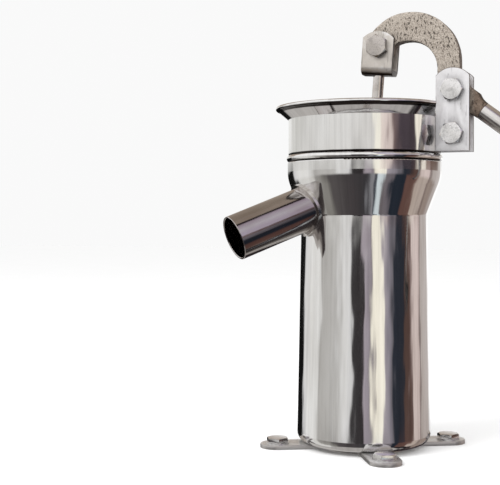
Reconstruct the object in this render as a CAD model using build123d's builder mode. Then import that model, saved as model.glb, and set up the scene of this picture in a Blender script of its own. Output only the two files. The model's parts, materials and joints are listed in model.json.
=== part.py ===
from build123d import *
import os
from math import cos, radians, sin, tan

os.makedirs("parts", exist_ok=True)

# Hand well pump. Millimetres, +Z up. The origin is the centre of the base's underside, over the
# well pipe. +X points to the lever bracket and the handle, and the lever swings in the XZ plane.

# ---- Driving dimensions --------------------------------------------------------------------

wall = 1.5                    # sheet of the pot, bell, cup and lip
ear_thickness = 3.5
ear_width = 26.0
ear_reach = 86.0              # axis to the tip of an ear
ear_angle = 29.0              # azimuth of the first ear
hub_radius = 38.0             # disc that joins the ears under the pot
anchor_circle_radius = 72.0

foot_radius = 54.8            # pot, just above its rounded bottom edge
neck_radius = 51.4
shoulder_radius = 62.8
foot_round = 8.0
neck_z = 189.5                # the pot is welded to the bell's cone here
shoulder_z = 219.5
neck_round = 4.0
shoulder_round = 30.0
bell_top_z = 233.2
bead_height = 5.6
bead_radius = 63.7
cup_radius = 62.2
cup_top_z = 267.8
rim_radius = 72.7
rim_z = 276.6
rim_roll = 1.8                # radius of the rolled edge
notch_width = 22.0            # gap in the lip round the bracket, where the lip meets the cup
notch_flare = 16.0            # its sides lean out by this many degrees from the bracket's ends

spout_angle = 223.5
spout_slope = 21.0
spout_radius = 18.0
spout_wall = 1.5
spout_entry_radius = 47.0     # distance from the pump's axis to the tube's inner end
spout_end_radius = 114.5      # and to its mouth
spout_z = 195.0               # height of the tube's axis at the pot's wall
spout_wall_radius = 53.0
weld_width = 2.8
weld_height = 2.2

bolt_radius = 5.0             # every bolt is M10
hexagon = 16.0
head_height = 6.4
anchor_head_height = 3.8      # thin heads on the feet
nut_height = 8.0
bolt_hole_radius = 5.3
thread_beyond_nut = 3.0
anchor_depth = 22.0           # studs below the base
anchor_shank_radius = 4.5     # reduced shank above the rolled thread
anchor_thread_drop = 0.6      # the thread starts this far below the base
washer_height = 0.8

pivot_x = 74.7
pivot_z = 288.5
clamp_z = 254.0
bracket_left = 61.4
bracket_width = 26.5
bracket_bottom_z = 240.3
bracket_side_z = 299.9
bracket_top_z = 306.1
plate_thickness = 4.0
fork_gap = 13.0               # between the plates of the bracket, and of the clevis
lever_thickness = 12.0
bush_radius = 7.5
bush_bore = 5.05              # runs on a bolt

pin_x = 14.0
pin_z = 325.7
arch_x = 39.0                 # centre and radius of the arch's outer edge
arch_z = 312.4
arch_radius = 40.6
arch_end_angle = 148.0
opening_x = 37.6              # and of the opening under it
opening_z = 305.7
opening_radius = 23.9
opening_end_angle = 112.0
pin_eye_radius = 12.0
pivot_eye_radius = 12.5
handle_slope = 37.0
arm_half_height = 9.6
arm_end_radius = 8.4          # the arm is turned down from here to its end
round_start = 17.0            # the round end grows out of the arm, clear of the bracket
socket_start = 21.0           # distances along the handle, from the pivot
socket_end = 28.0
socket_lip = 0.3              # step from the arm's end down to the bar
tenon_radius = 4.2
tenon_start = 14.0
bar_radius = 7.0
bar_straight = 200.0
bar_bend_radius = 120.0
bar_bend_angle = 22.0
grip_length = 112.0
grip_radius = 12.5
cap_height = 4.0

rod_lean = 4.2
rod_radius = 4.5
rod_collar_height = 4.0       # welded ring that holds the rod in the clevis
rod_length = 140.0            # pin to foot
clevis_width = 25.5
clevis_top = 12.5             # above the pin
clevis_floor = 18.0           # inner floor, below the pin
clevis_bottom = 22.5
clevis_bend = 6.5             # outside radius of its two lower corners

inlet_bore = 19.5             # G 1 1/4 inside thread
inlet_outer = 24.0
inlet_height = 22.0
seat_height = 5.0
seat_radius = 30.0
seat_bore = 14.0
base_plate_radius = 46.0
base_plate_top = 9.0
gasket_height = 1.5
liner_bore = 42.0
liner_outer = 45.0
liner_top = 160.0
liner_collar_bottom = 148.0
liner_collar_top = 153.0
valve_gap = 0.3
disc_radius = 19.0            # foot valve
disc_height = 4.0
stem_radius = 3.0
stem_height = 12.0
bridge_width = 12.0
bridge_leg = 5.0
bridge_arm_bottom = 38.0
bridge_arm_top = 42.0

plate_bottom_z = 125.0        # underside of the piston's retaining plate, handle down
retainer_height = 4.0
seal_height = 9.0
crown_height = 6.0
piston_radius = 41.2
piston_waist = 37.0
seal_radius = 41.7
port_circle = 33.0
port_radius = 3.0
yoke_outer = 25.5
yoke_bore = 22.5
yoke_cap_hole = 12.5
yoke_floor_height = 4.0
yoke_drain_radius = 3.0
yoke_window_width = 12.0
screw_circle = 16.0
screw_radius = 2.5
screw_count = 4
screw_head = 3.0
valve_height = 3.0
valve_lift = 4.0
stop_ring_width = 4.0
stop_ring_height = 2.0
foot_disc_radius = 15.0
foot_disc_height = 5.0
foot_play = 1.3               # above and below the rod's foot


# ---- Shared shapes -------------------------------------------------------------------------

def vessel(inset):
    """The space inside the pot and bell, inset from their outer face, up to the bell's top."""
    with BuildPart() as space:
        with BuildSketch(Plane.XZ):
            with BuildLine():
                outline = FilletPolyline(
                    (0, ear_thickness + inset),
                    (foot_radius - inset, ear_thickness + inset),
                    (neck_radius - inset, neck_z),
                    (shoulder_radius - inset, shoulder_z),
                    (shoulder_radius - inset, bell_top_z),
                    radius=[foot_round - inset, neck_round, shoulder_round],
                )
                Polyline(outline @ 1, (0, bell_top_z), outline @ 0)
            make_face()
        revolve(axis=Axis.Z)
    return space.part


def ring(inner, outer, low, high):
    """A plain turned ring or tube about the pump's axis."""
    with BuildPart() as turned:
        with BuildSketch(Plane.XY.offset(low)):
            Circle(outer)
            Circle(inner, mode=Mode.SUBTRACT)
        extrude(amount=high - low)
    return turned.part


def hexagon_prism(height, turn):
    """A hexagon head or nut blank with its upper corners turned off, standing on z = 0."""
    crown = hexagon / 2
    corner = hexagon / (2 * cos(radians(30)))
    drop = (corner - crown) * tan(radians(30))
    with BuildPart() as blank:
        with BuildSketch():
            RegularPolygon(crown, 6, major_radius=False, rotation=turn)
        extrude(amount=height)
        with BuildSketch(Plane.XZ):
            with BuildLine():
                Polyline(
                    (0, 0),
                    (corner, 0),
                    (corner, height - drop),
                    (crown, height),
                    (0, height),
                    close=True,
                )
            make_face()
        revolve(axis=Axis.Z, mode=Mode.INTERSECT)
    return blank.part


def bolt(grip, turn=0.0, head=head_height):
    """A hexagon bolt. Its head stands on z = 0 and its shank hangs below, grip long."""
    with BuildPart() as whole:
        add(hexagon_prism(head, turn))
        with BuildSketch():
            Circle(bolt_radius)
        extrude(amount=-grip)
        chamfer(whole.faces().sort_by(Axis.Z)[0].edges(), length=0.8)
    return whole.part


def nut(height, turn=0.0):
    """A hexagon nut standing on z = 0, bored to the bolt's shank."""
    with BuildPart() as whole:
        add(hexagon_prism(height, turn))
        with BuildSketch():
            Circle(bolt_radius)
        extrude(amount=height, mode=Mode.SUBTRACT)
    return whole.part


# ---- Base ----------------------------------------------------------------------------------

with BuildPart() as foot_cross:
    with BuildSketch():
        with PolarLocations(0, 2, start_angle=ear_angle, angular_range=180):
            SlotOverall(2 * ear_reach, ear_width)
        Circle(hub_radius)
        Circle(inlet_outer, mode=Mode.SUBTRACT)
        with PolarLocations(anchor_circle_radius, 4, start_angle=ear_angle):
            Circle(bolt_hole_radius, mode=Mode.SUBTRACT)
    extrude(amount=ear_thickness)
    chamfer(foot_cross.faces().sort_by(Axis.Z)[-1].outer_wire().edges(), length=0.5)
foot_cross.part.label = "foot_cross"
export_step(foot_cross.part, "parts/foot_cross.step")

with BuildPart() as anchor_washers:
    with BuildSketch(Plane.XY.offset(ear_thickness)):
        with PolarLocations(anchor_circle_radius, 4, start_angle=ear_angle):
            Circle(hexagon / 2 + 1.5)
            Circle(bolt_hole_radius, mode=Mode.SUBTRACT)
    extrude(amount=washer_height)
anchor_washers.part.label = "anchor_washers"
export_step(anchor_washers.part, "parts/anchor_washers.step")

anchor_seat = ear_thickness + washer_height
with BuildPart() as anchor_bolts:
    with Locations(Plane.XY.offset(anchor_seat).location):
        with PolarLocations(anchor_circle_radius, 4, start_angle=ear_angle):
            add(bolt(anchor_seat + anchor_depth, turn=30, head=anchor_head_height))
    with BuildSketch(Plane.XY.offset(-anchor_thread_drop)):
        with PolarLocations(anchor_circle_radius, 4, start_angle=ear_angle):
            Circle(bolt_radius)
            Circle(anchor_shank_radius, mode=Mode.SUBTRACT)
    extrude(amount=anchor_thread_drop + anchor_seat, mode=Mode.SUBTRACT)
anchor_bolts.part.label = "anchor_bolts"
export_step(anchor_bolts.part, "parts/anchor_bolts.step")

# ---- Pot, bell, bead, cup and lip ------------------------------------------------------------

outer_vessel = vessel(0)
inner_vessel = vessel(wall)

spout_direction = Vector(1, 0, -tan(radians(spout_slope))).normalized().rotate(Axis.Z, spout_angle)


def on_spout(radius):
    """The point of the spout's axis at this distance from the pump's axis."""
    height = spout_z - (radius - spout_wall_radius) * tan(radians(spout_slope))
    return Vector(radius, 0, height).rotate(Axis.Z, spout_angle)


spout_root = on_spout(spout_entry_radius)
spout_mouth = on_spout(spout_end_radius)
spout_length = (spout_mouth - spout_root).length
spout_across = Vector(0, 1, 0).rotate(Axis.Z, spout_angle)
spout_plane = Plane(origin=spout_root, x_dir=spout_across, z_dir=spout_direction)

with BuildPart() as spout_core:
    with BuildSketch(spout_plane):
        Circle(spout_radius)
    extrude(amount=spout_length)

with BuildPart() as barrel_shell:
    add(outer_vessel)
    add(inner_vessel, mode=Mode.SUBTRACT)
    split(bisect_by=Plane.XY.offset(neck_z), keep=Keep.BOTTOM)
    with BuildSketch():
        Circle(inlet_outer)
    extrude(amount=2 * ear_thickness, mode=Mode.SUBTRACT)
    add(spout_core.part, mode=Mode.SUBTRACT)
barrel_shell.part.label = "barrel_shell"
export_step(barrel_shell.part, "parts/barrel_shell.step")

with BuildPart() as bell:
    add(outer_vessel)
    add(inner_vessel, mode=Mode.SUBTRACT)
    split(bisect_by=Plane.XY.offset(neck_z), keep=Keep.TOP)
    add(spout_core.part, mode=Mode.SUBTRACT)
    top_edges = bell.edges().filter_by(GeomType.CIRCLE).group_by(Axis.Z)[-1]
    fillet(top_edges.sort_by(SortBy.RADIUS)[-1], radius=1.0)
bell.part.label = "bell"
export_step(bell.part, "parts/bell.step")

bead_top_z = bell_top_z + bead_height
with BuildPart() as joint_bead:
    with BuildSketch(Plane.XZ):
        with BuildLine():
            inner_side = Line((cup_radius - wall, bead_top_z), (cup_radius - wall, bell_top_z))
            lower_side = Line(inner_side @ 1, (cup_radius - 0.4, bell_top_z))
            roll = ThreePointArc(
                lower_side @ 1, (bead_radius, bell_top_z + bead_height / 2), (cup_radius - 0.4, bead_top_z)
            )
            Line(roll @ 1, inner_side @ 0)
        make_face()
    revolve(axis=Axis.Z)
joint_bead.part.label = "joint_bead"
export_step(joint_bead.part, "parts/joint_bead.step")

with BuildPart() as top_cup:
    add(ring(cup_radius - wall, cup_radius, bead_top_z, cup_top_z))
    lowest_edges = top_cup.edges().filter_by(GeomType.CIRCLE).group_by(Axis.Z)[0]
    fillet(lowest_edges.sort_by(SortBy.RADIUS)[-1], radius=1.1)
top_cup.part.label = "top_cup"
export_step(top_cup.part, "parts/top_cup.step")

roll_centre_radius = rim_radius - rim_roll
with BuildPart() as flared_lip:
    with BuildSketch(Plane.XZ):
        with BuildLine():
            Polyline(
                (cup_radius - wall, cup_top_z),
                (cup_radius, cup_top_z),
                (roll_centre_radius + wall / 2, rim_z - wall / 2),
                (roll_centre_radius - wall / 2, rim_z + wall / 2),
                close=True,
            )
        make_face()
        with Locations((roll_centre_radius, rim_z)):
            Circle(rim_roll)
    revolve(axis=Axis.Z)
    notch_root = cup_radius - wall
    notch_depth = 2 * (rim_radius - notch_root)
    notch_mouth = notch_width / 2 + notch_depth / tan(radians(notch_flare))
    with BuildSketch(Plane.XY.offset(cup_top_z)):
        with BuildLine():
            Polyline(
                (notch_root, -notch_width / 2),
                (notch_root + notch_depth, -notch_mouth),
                (notch_root + notch_depth, notch_mouth),
                (notch_root, notch_width / 2),
                close=True,
            )
        make_face()
    extrude(amount=2 * rim_z, mode=Mode.SUBTRACT)
flared_lip.part.label = "flared_lip"
export_step(flared_lip.part, "parts/flared_lip.step")

# ---- Spout -----------------------------------------------------------------------------------

with BuildPart() as spout_tube:
    with BuildSketch(spout_plane):
        Circle(spout_radius)
        Circle(spout_radius - spout_wall, mode=Mode.SUBTRACT)
    extrude(amount=spout_length)
    chamfer(spout_tube.faces().sort_by(Axis(spout_root, spout_direction))[-1].edges(), length=0.4)
spout_tube.part.label = "spout_tube"
export_step(spout_tube.part, "parts/spout_tube.step")

grown_vessel = vessel(-weld_height)
with BuildPart() as spout_weld:
    with BuildSketch(spout_plane):
        Circle(spout_radius + weld_width)
    extrude(amount=spout_length / 2)
    add(grown_vessel, mode=Mode.INTERSECT)
    add(outer_vessel, mode=Mode.SUBTRACT)
    add(spout_core.part, mode=Mode.SUBTRACT)
spout_weld.part.label = "spout_weld"
export_step(spout_weld.part, "parts/spout_weld.step")

# ---- Inlet, foot valve and cylinder ------------------------------------------------------------

with BuildPart() as inlet_socket:
    add(ring(inlet_bore, inlet_outer, 0, inlet_height))
    chamfer(inlet_socket.edges().filter_by(GeomType.CIRCLE).group_by(Axis.Z)[-1], length=0.6)
inlet_socket.part.label = "inlet_socket"
export_step(inlet_socket.part, "parts/inlet_socket.step")

with BuildPart() as base_plate:
    add(ring(inlet_outer, base_plate_radius, ear_thickness + wall, base_plate_top))
base_plate.part.label = "base_plate"
export_step(base_plate.part, "parts/base_plate.step")

liner_bottom = base_plate_top + gasket_height
with BuildPart() as liner_gasket:
    add(ring(liner_bore - 1, base_plate_radius, base_plate_top, liner_bottom))
liner_gasket.part.label = "liner_gasket"
export_step(liner_gasket.part, "parts/liner_gasket.step")

with BuildPart() as cylinder_liner:
    add(ring(liner_bore, liner_outer, liner_bottom, liner_top))
cylinder_liner.part.label = "cylinder_liner"
export_step(cylinder_liner.part, "parts/cylinder_liner.step")

with BuildPart() as liner_collar:
    add(ring(liner_outer, foot_radius, liner_collar_bottom, liner_collar_top))
    add(inner_vessel, mode=Mode.INTERSECT)
liner_collar.part.label = "liner_collar"
export_step(liner_collar.part, "parts/liner_collar.step")

seat_top = inlet_height + seat_height
with BuildPart() as foot_valve_seat:
    add(ring(seat_bore, seat_radius, inlet_height, seat_top))
foot_valve_seat.part.label = "foot_valve_seat"
export_step(foot_valve_seat.part, "parts/foot_valve_seat.step")

disc_bottom = seat_top + valve_gap
with BuildPart() as foot_valve_disc:
    with BuildSketch(Plane.XY.offset(disc_bottom)):
        Circle(disc_radius)
    extrude(amount=disc_height)
    with BuildSketch(Plane.XY.offset(disc_bottom + disc_height)):
        Circle(stem_radius)
    extrude(amount=stem_height)
foot_valve_disc.part.label = "foot_valve_disc"
export_step(foot_valve_disc.part, "parts/foot_valve_disc.step")

with BuildPart() as foot_valve_bridge:
    with BuildSketch(Plane.XY.offset(bridge_arm_bottom)):
        Rectangle(2 * seat_radius - 2, bridge_width)
        Circle(stem_radius + valve_gap, mode=Mode.SUBTRACT)
    extrude(amount=bridge_arm_top - bridge_arm_bottom)
    with BuildSketch(Plane.XY.offset(seat_top)):
        with Locations((seat_radius - 1 - bridge_leg / 2, 0), (1 + bridge_leg / 2 - seat_radius, 0)):
            Rectangle(bridge_leg, bridge_width)
    extrude(amount=bridge_arm_bottom - seat_top)
foot_valve_bridge.part.label = "foot_valve_bridge"
export_step(foot_valve_bridge.part, "parts/foot_valve_bridge.step")

# ---- Bracket -----------------------------------------------------------------------------------

fork_outer = fork_gap / 2 + plate_thickness
cup_space = ring(0.5, cup_radius, bell_top_z, cup_top_z)


def bracket_plate(inner_plane):
    """One plate of the bracket, on a plane that looks along -Y, butted to the cup's wall."""
    right = bracket_left + bracket_width
    middle = bracket_left + bracket_width / 2
    with BuildPart() as plate:
        with BuildSketch(inner_plane):
            with BuildLine():
                sides = Polyline(
                    (bracket_left, bracket_side_z),
                    (bracket_left, bracket_bottom_z),
                    (right, bracket_bottom_z),
                    (right, bracket_side_z),
                )
                ThreePointArc(sides @ 1, (middle, bracket_top_z), sides @ 0)
            make_face()
            with Locations((pivot_x, pivot_z), (pivot_x, clamp_z)):
                Circle(bolt_hole_radius, mode=Mode.SUBTRACT)
        extrude(amount=plate_thickness)
        chamfer(plate.edges().filter_by(GeomType.CIRCLE).sort_by(SortBy.RADIUS)[-2:], length=0.5)
        add(cup_space, mode=Mode.SUBTRACT)
    return plate.part


with BuildPart() as bracket_plate_front:
    add(bracket_plate(Plane.XZ.offset(fork_gap / 2)))
bracket_plate_front.part.label = "bracket_plate_front"
export_step(bracket_plate_front.part, "parts/bracket_plate_front.step")

with BuildPart() as bracket_plate_rear:
    add(bracket_plate(Plane.XZ.offset(-fork_outer)))
bracket_plate_rear.part.label = "bracket_plate_rear"
export_step(bracket_plate_rear.part, "parts/bracket_plate_rear.step")

with BuildPart() as bracket_spacer:
    with BuildSketch(Plane.XZ.offset(-fork_gap / 2)):
        with Locations((pivot_x, clamp_z)):
            Circle(hexagon / 2)
            Circle(bolt_radius, mode=Mode.SUBTRACT)
    extrude(amount=fork_gap)
bracket_spacer.part.label = "bracket_spacer"
export_step(bracket_spacer.part, "parts/bracket_spacer.step")


def fork_front(x, z):
    """Seat of a bolt head on the front plate of a fork."""
    return Plane(origin=(x, -fork_outer, z), x_dir=(1, 0, 0), z_dir=(0, -1, 0))


def fork_back(x, z):
    """Seat of a nut on the back plate of a fork."""
    return Plane(origin=(x, fork_outer, z), x_dir=(1, 0, 0), z_dir=(0, 1, 0))


fork_bolt_length = 2 * fork_outer + nut_height + thread_beyond_nut

with BuildPart() as pivot_bolt:
    with Locations(fork_front(pivot_x, pivot_z).location):
        add(bolt(fork_bolt_length))
pivot_bolt.part.label = "pivot_bolt"
export_step(pivot_bolt.part, "parts/pivot_bolt.step")

with BuildPart() as pivot_nut:
    with Locations(fork_back(pivot_x, pivot_z).location):
        add(nut(nut_height))
pivot_nut.part.label = "pivot_nut"
export_step(pivot_nut.part, "parts/pivot_nut.step")

with BuildPart() as clamp_bolt:
    with Locations(fork_front(pivot_x, clamp_z).location):
        add(bolt(fork_bolt_length, turn=8))
clamp_bolt.part.label = "clamp_bolt"
export_step(clamp_bolt.part, "parts/clamp_bolt.step")

with BuildPart() as clamp_nut:
    with Locations(fork_back(pivot_x, clamp_z).location):
        add(nut(nut_height, turn=20))
clamp_nut.part.label = "clamp_nut"
export_step(clamp_nut.part, "parts/clamp_nut.step")

# ---- Lever and handle --------------------------------------------------------------------------

handle_direction = Vector(cos(radians(handle_slope)), 0, -sin(radians(handle_slope)))
handle_plane = Plane(origin=(pivot_x, 0, pivot_z), x_dir=handle_direction, z_dir=(0, -1, 0))
lever_plane = Plane.XZ.offset(-lever_thickness / 2)


def eye_point(angle):
    """A point of the rounded end around the clevis pin."""
    return (pin_x + pin_eye_radius * cos(radians(angle)), pin_z + pin_eye_radius * sin(radians(angle)))


tenon_plane = Plane(origin=handle_plane.from_local_coords((tenon_start, 0)), z_dir=handle_direction)
handle_axis = Axis((pivot_x, 0, pivot_z), handle_direction)

with BuildPart() as handle_arm:
    with BuildSketch(handle_plane.offset(-lever_thickness / 2)):
        with Locations((socket_end / 2, 0)):
            Rectangle(socket_end, 2 * arm_half_height)
    extrude(amount=lever_thickness)
    with BuildSketch(handle_plane):
        with BuildLine():
            envelope = Polyline(
                (0, 0),
                (0, 2 * arm_half_height),
                (socket_start, arm_end_radius),
            )
            Spline(envelope @ 1, (socket_end, bar_radius + socket_lip), tangents=[(1, -0.5), (1, 0)])
            Polyline((socket_end, bar_radius + socket_lip), (socket_end, 0), (0, 0))
        make_face()
    revolve(axis=handle_axis, mode=Mode.INTERSECT)
    with BuildSketch(handle_plane):
        with BuildLine():
            Polyline((socket_end, 0), (round_start, 0), (round_start, tenon_radius + 1))
            Line((round_start, tenon_radius + 1), (socket_start, arm_end_radius))
            Spline(
                (socket_start, arm_end_radius),
                (socket_end, bar_radius + socket_lip),
                tangents=[(1, -0.5), (1, 0)],
            )
            Line((socket_end, bar_radius + socket_lip), (socket_end, 0))
        make_face()
    revolve(axis=handle_axis)

with BuildPart() as lever_casting:
    with BuildSketch(lever_plane):
        with BuildLine():
            inner_arc = CenterArc((opening_x, opening_z), opening_radius, 0, opening_end_angle)
            throat = TangentArc(inner_arc @ 1, eye_point(-25), tangent=inner_arc % 1)
            outer_arc = CenterArc((arch_x, arch_z), arch_radius, 0, arch_end_angle)
            ThreePointArc(throat @ 1, eye_point(220), outer_arc @ 1)
            Polyline(
                outer_arc @ 0,
                (arch_x + arch_radius, pivot_z),
                (opening_x + opening_radius, pivot_z),
                inner_arc @ 0,
            )
        make_face()
        with Locations((pivot_x, pivot_z)):
            Circle(pivot_eye_radius)
        with Locations((pivot_x, pivot_z), (pin_x, pin_z)):
            Circle(bush_radius, mode=Mode.SUBTRACT)
    extrude(amount=lever_thickness)
    add(handle_arm.part)
    with BuildSketch(lever_plane):
        with Locations((pivot_x, pivot_z)):
            Circle(bush_radius)
    extrude(amount=lever_thickness, mode=Mode.SUBTRACT)
    with BuildSketch(tenon_plane):
        Circle(tenon_radius)
    extrude(amount=socket_end, mode=Mode.SUBTRACT)
lever_casting.part.label = "lever_casting"
export_step(lever_casting.part, "parts/lever_casting.step")


def lever_bush(x, z):
    """A plain bearing bush in the lever."""
    with BuildPart() as bush:
        with BuildSketch(lever_plane):
            with Locations((x, z)):
                Circle(bush_radius)
                Circle(bush_bore, mode=Mode.SUBTRACT)
        extrude(amount=lever_thickness)
    return bush.part


with BuildPart() as pivot_bush:
    add(lever_bush(pivot_x, pivot_z))
pivot_bush.part.label = "pivot_bush"
export_step(pivot_bush.part, "parts/pivot_bush.step")

with BuildPart() as pin_bush:
    add(lever_bush(pin_x, pin_z))
pin_bush.part.label = "pin_bush"
export_step(pin_bush.part, "parts/pin_bush.step")

bend_start = socket_end + bar_straight
bend_run = bar_bend_radius * sin(radians(bar_bend_angle))
bend_rise = bar_bend_radius * (1 - cos(radians(bar_bend_angle)))
with BuildPart() as handle_bar:
    with BuildLine() as bar_path:
        straight = Line(
            handle_plane.from_local_coords((socket_end, 0)),
            handle_plane.from_local_coords((bend_start, 0)),
        )
        bend = TangentArc(
            straight @ 1,
            handle_plane.from_local_coords((bend_start + bend_run, bend_rise)),
            tangent=handle_direction,
        )
        Line(bend @ 1, bend @ 1 + (bend % 1) * grip_length)
    with BuildSketch(Plane(origin=straight @ 0, z_dir=handle_direction)):
        Circle(bar_radius)
    sweep()
    with BuildSketch(tenon_plane):
        Circle(tenon_radius)
    extrude(amount=socket_end - tenon_start)
handle_bar.part.label = "handle_bar"
export_step(handle_bar.part, "parts/handle_bar.step")

grip_direction = bar_path.line % 1
bar_end = bar_path.line @ 1
grip_plane = Plane(origin=bar_end - grip_direction * grip_length, x_dir=(0, 1, 0), z_dir=grip_direction)

with BuildPart() as handle_grip:
    with BuildSketch(grip_plane):
        Circle(grip_radius)
        Circle(bar_radius, mode=Mode.SUBTRACT)
    extrude(amount=grip_length)
    grip_rims = handle_grip.edges().filter_by(GeomType.CIRCLE).group_by(SortBy.RADIUS)[-1]
    fillet(grip_rims, radius=2.5)
handle_grip.part.label = "handle_grip"
export_step(handle_grip.part, "parts/handle_grip.step")

with BuildPart() as grip_end_cap:
    with BuildSketch(Plane(origin=bar_end, z_dir=grip_direction)):
        Circle(grip_radius - 3)
    extrude(amount=cap_height)
    fillet(grip_end_cap.faces().sort_by(Axis(bar_end, grip_direction))[-1].edges(), radius=2.5)
grip_end_cap.part.label = "grip_end_cap"
export_step(grip_end_cap.part, "parts/grip_end_cap.step")

# ---- Clevis and piston rod ---------------------------------------------------------------------

rod_direction = Vector(sin(radians(rod_lean)), 0, cos(radians(rod_lean)))
rod_across = Vector(cos(radians(rod_lean)), 0, -sin(radians(rod_lean)))
pin_point = Vector(pin_x, 0, pin_z)


def along_rod(height):
    """A plane square to the rod, this far above the clevis pin."""
    return Plane(origin=pin_point + rod_direction * height, x_dir=rod_across, z_dir=rod_direction)


clevis_side = Plane(origin=pin_point, x_dir=(0, 1, 0), z_dir=rod_across)
clevis_front = Plane(origin=pin_point, x_dir=rod_across, z_dir=(0, -1, 0))

with BuildPart() as clevis:
    with BuildSketch(clevis_side):
        with Locations((0, (clevis_top - clevis_bottom) / 2)):
            RectangleRounded(2 * fork_outer, clevis_top + clevis_bottom, clevis_bend)
        with Locations((0, clevis_top - 10)):
            Rectangle(2 * fork_outer, 20)
        with Locations((0, clevis_top)):
            Rectangle(fork_gap, 2 * (clevis_top + clevis_floor), mode=Mode.SUBTRACT)
    extrude(amount=clevis_width / 2, both=True)
    with BuildSketch(clevis_front):
        with BuildLine():
            cheeks = Polyline(
                (-clevis_width / 2, clevis_top - 5.5),
                (-clevis_width / 2, -clevis_bottom),
                (clevis_width / 2, -clevis_bottom),
                (clevis_width / 2, clevis_top - 5.5),
            )
            ThreePointArc(cheeks @ 1, (0, clevis_top), cheeks @ 0)
        make_face()
        Circle(bolt_radius, mode=Mode.SUBTRACT)
    extrude(amount=2 * fork_outer, both=True, mode=Mode.INTERSECT)
    with BuildSketch(along_rod(0)):
        Circle(rod_radius)
    extrude(amount=-2 * clevis_bottom, mode=Mode.SUBTRACT)
clevis.part.label = "clevis"
export_step(clevis.part, "parts/clevis.step")

with BuildPart() as clevis_bolt:
    with Locations(fork_front(pin_x, pin_z).location):
        add(bolt(fork_bolt_length, turn=32))
clevis_bolt.part.label = "clevis_bolt"
export_step(clevis_bolt.part, "parts/clevis_bolt.step")

with BuildPart() as clevis_nut:
    with Locations(fork_back(pin_x, pin_z).location):
        add(nut(nut_height, turn=10))
clevis_nut.part.label = "clevis_nut"
export_step(clevis_nut.part, "parts/clevis_nut.step")

with BuildPart() as rod_collar:
    with BuildSketch(along_rod(-clevis_floor)):
        Circle(fork_gap / 2 - 0.3)
        Circle(rod_radius, mode=Mode.SUBTRACT)
    extrude(amount=rod_collar_height)
rod_collar.part.label = "rod_collar"
export_step(rod_collar.part, "parts/rod_collar.step")

foot_point = pin_point - rod_direction * rod_length
foot_top = foot_point.Z + foot_disc_height / 2
foot_bottom = foot_point.Z - foot_disc_height / 2
with BuildPart() as rod_foot:
    with BuildSketch(Plane.XY.offset(foot_bottom)):
        with Locations((foot_point.X, 0)):
            Circle(foot_disc_radius)
    extrude(amount=foot_disc_height)
    with BuildSketch(along_rod(-rod_length - foot_disc_height)):
        Circle(rod_radius)
    extrude(amount=3 * foot_disc_height, mode=Mode.SUBTRACT)
rod_foot.part.label = "rod_foot"
export_step(rod_foot.part, "parts/rod_foot.step")

with BuildPart() as piston_rod:
    with BuildSketch(along_rod(rod_collar_height - clevis_floor)):
        Circle(rod_radius)
    extrude(amount=-(rod_length + foot_disc_height))
    split(bisect_by=Plane.XY.offset(foot_bottom), keep=Keep.TOP)
piston_rod.part.label = "piston_rod"
export_step(piston_rod.part, "parts/piston_rod.step")

# ---- Piston ------------------------------------------------------------------------------------

waist_bottom = plate_bottom_z + retainer_height
crown_bottom = waist_bottom + seal_height
crown_top = crown_bottom + crown_height

with BuildPart() as piston_retainer:
    with BuildSketch(Plane.XY.offset(plate_bottom_z)):
        Circle(piston_radius - 0.7)
        with PolarLocations(port_circle, 8):
            Circle(port_radius, mode=Mode.SUBTRACT)
        with PolarLocations(screw_circle, screw_count):
            Circle(screw_radius, mode=Mode.SUBTRACT)
    extrude(amount=retainer_height)
piston_retainer.part.label = "piston_retainer"
export_step(piston_retainer.part, "parts/piston_retainer.step")

with BuildPart() as piston_body:
    with BuildSketch(Plane.XY.offset(waist_bottom)):
        Circle(piston_waist)
    extrude(amount=seal_height)
    with BuildSketch(Plane.XY.offset(crown_bottom)):
        Circle(piston_radius)
    extrude(amount=crown_height)
    with BuildSketch(Plane.XY.offset(waist_bottom)):
        with PolarLocations(port_circle, 8):
            Circle(port_radius)
    extrude(amount=seal_height + crown_height, mode=Mode.SUBTRACT)
    with BuildSketch(Plane.XY.offset(waist_bottom)):
        with PolarLocations(screw_circle, screw_count):
            Circle(screw_radius)
    extrude(amount=seal_height, mode=Mode.SUBTRACT)
piston_body.part.label = "piston_body"
export_step(piston_body.part, "parts/piston_body.step")

with BuildPart() as piston_seal:
    add(ring(piston_waist, seal_radius, waist_bottom, crown_bottom))
piston_seal.part.label = "piston_seal"
export_step(piston_seal.part, "parts/piston_seal.step")

with BuildPart() as piston_screws:
    with BuildSketch(Plane.XY.offset(plate_bottom_z)):
        with PolarLocations(screw_circle, screw_count):
            Circle(screw_radius)
    extrude(amount=retainer_height + seal_height)
    with BuildSketch(Plane.XY.offset(plate_bottom_z)):
        with PolarLocations(screw_circle, screw_count):
            Circle(1.7 * screw_radius)
    extrude(amount=-screw_head)
piston_screws.part.label = "piston_screws"
export_step(piston_screws.part, "parts/piston_screws.step")

valve_bottom = crown_top + valve_gap
with BuildPart() as piston_valve:
    add(ring(yoke_outer + 0.5, port_circle + port_radius + 2, valve_bottom, valve_bottom + valve_height))
piston_valve.part.label = "piston_valve"
export_step(piston_valve.part, "parts/piston_valve.step")

stop_bottom = valve_bottom + valve_height + valve_lift + valve_gap
with BuildPart() as valve_stop_ring:
    add(ring(yoke_outer, yoke_outer + stop_ring_width, stop_bottom, stop_bottom + stop_ring_height))
valve_stop_ring.part.label = "valve_stop_ring"
export_step(valve_stop_ring.part, "parts/valve_stop_ring.step")

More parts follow.
